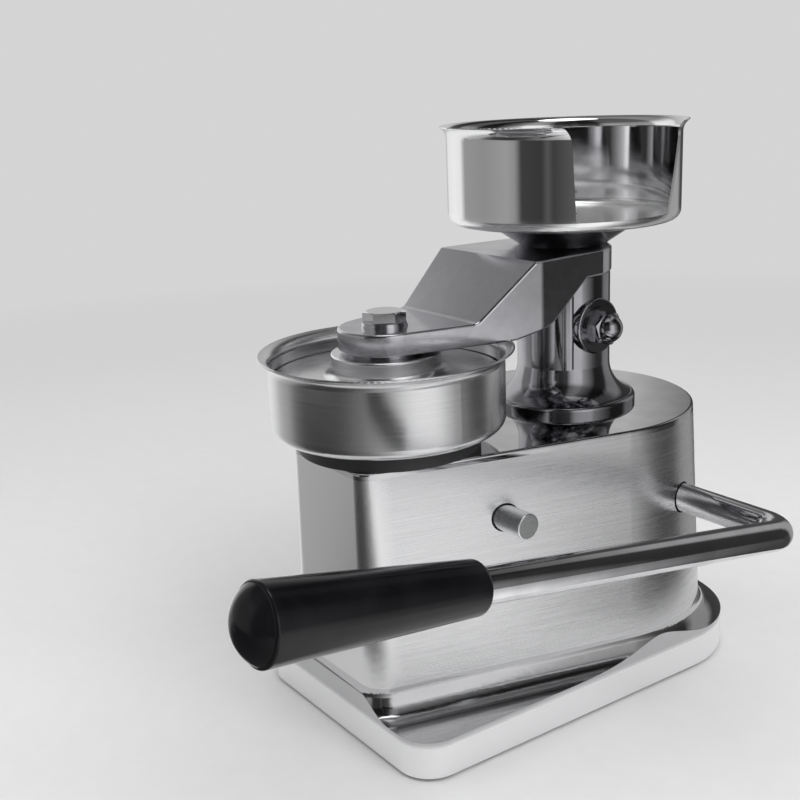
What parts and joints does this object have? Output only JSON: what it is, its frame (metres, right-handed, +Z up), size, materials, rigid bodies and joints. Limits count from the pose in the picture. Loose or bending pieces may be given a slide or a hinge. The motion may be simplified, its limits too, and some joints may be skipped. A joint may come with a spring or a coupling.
{
  "type": "patty press",
  "caption": "Hand-lever press that forms a round meat patty between a lifting head and an ejecting bowl floor, with a paper tray over the column.",
  "frame": {"origin": "middle of the footprint's bounding box, on the worktop", "axes": "+X towards the lever side, +Y towards the back, +Z up"},
  "size_m": [0.2619, 0.4082, 0.3352],
  "materials": {
    "base_polished": "polished",
    "body_brushed": "horizontal brushed grain, flat grey front",
    "deck_mirror": "mirror polish",
    "cover_steel": "plain sheet",
    "rubber_black": "matt",
    "screw_steel": "zinc",
    "cast_dark": "polished casting",
    "cast_arm": "polished casting with bright edges",
    "plated": "plated",
    "bronze": "turned",
    "frame_steel": "plain",
    "bowl_satin": "satin, polished rim",
    "plate_polished": "turned and polished",
    "tray_mirror": "mirror polish",
    "grip_black": "gloss",
    "spindle_ground": "ground"
  },
  "bodies": {
    "frame": {"base_pan": "base_polished", "bottom_cover": "cover_steel", "rubber_feet": "rubber_black", "foot_screws": "screw_steel", "body_screws": "screw_steel", "body_shell": "body_brushed", "top_deck": "deck_mirror", "column_housing": "cast_dark", "column_bolts": "screw_steel", "column_bush_lower": "bronze", "column_bush_upper": "bronze", "dome_washer": "plated", "dome_nut": "plated", "guide_stud": "screw_steel", "frame_bridge": "frame_steel", "frame_cheek_left": "frame_steel", "frame_cheek_right": "frame_steel", "frame_ties": "frame_steel", "tie_screws": "screw_steel", "frame_screws": "screw_steel", "shaft_bush_left": "bronze", "shaft_bush_right": "bronze", "side_pin": "plated", "side_pin_clips": "screw_steel", "mould_bowl": "bowl_satin", "bowl_neck": "cast_dark", "bowl_screws": "screw_steel", "bowl_nuts": "screw_steel", "ejector_bush": "bronze", "bell_crank_spacer": "frame_steel"},
    "handle": {"handle_rod": "plated", "handle_grip": "grip_black", "grip_pin": "screw_steel", "drive_pinion": "spindle_ground", "pinion_setscrew": "screw_steel", "crank_arm": "frame_steel", "crank_setscrew": "screw_steel", "crank_pin": "screw_steel", "shaft_clip": "screw_steel"},
    "lift": {"spindle": "spindle_ground", "swing_arm": "cast_arm", "press_head": "plate_polished", "head_spacer": "cast_dark", "head_washers": "plated", "head_bolt": "plated", "tray_pedestal": "cast_dark", "paper_tray": "tray_mirror", "tray_screw": "plated"},
    "link": {"link_bar": "frame_steel"},
    "bell_crank": {"bell_crank": "frame_steel", "bell_crank_pin": "screw_steel", "roller_axle": "screw_steel"},
    "roller": {"lift_roller": "spindle_ground"},
    "ejector": {"ejector_plate": "plate_polished", "ejector_rod": "spindle_ground", "ejector_yoke": "frame_steel", "yoke_nut": "screw_steel"}
  },
  "joints": [
    {"name": "handle_lift", "type": "hinge", "parent": "frame", "child": "handle", "pos_m": [-0.04246, 0.13557, 0.1135], "axis": [-1, 0, 0], "range_deg": [0, 100]},
    {"name": "spindle_lift", "type": "slide", "parent": "frame", "child": "lift", "axis": [0, 0, 1], "range_m": [0, 0.0262]},
    {"name": "link_swing", "type": "hinge", "parent": "handle", "child": "link", "pos_m": [-0.02046, 0.15855, 0.09422], "axis": [-1, 0, 0], "range_deg": [-100, 0]},
    {"name": "bell_crank_turn", "type": "hinge", "parent": "frame", "child": "bell_crank", "pos_m": [-0.02046, 0.01347, 0.1263], "axis": [-1, 0, 0], "range_deg": [0, 100]},
    {"name": "roller_spin", "type": "hinge", "parent": "bell_crank", "child": "roller", "pos_m": [-0.03446, -0.00003, 0.11021], "axis": [1, 0, 0], "continuous": true},
    {"name": "ejector_lift", "type": "slide", "parent": "frame", "child": "ejector", "axis": [0, 0, 1], "range_m": [0, 0.0322]}
  ],
  "couplings": [
    {"joint": "spindle_lift", "follows": "handle_lift", "m_per_rad": 0.015},
    {"joint": "link_swing", "follows": "handle_lift", "ratio": -1},
    {"joint": "bell_crank_turn", "follows": "handle_lift", "ratio": 1},
    {"joint": "ejector_lift", "follows": "handle_lift", "m_per_rad": 0.018434}
  ]
}
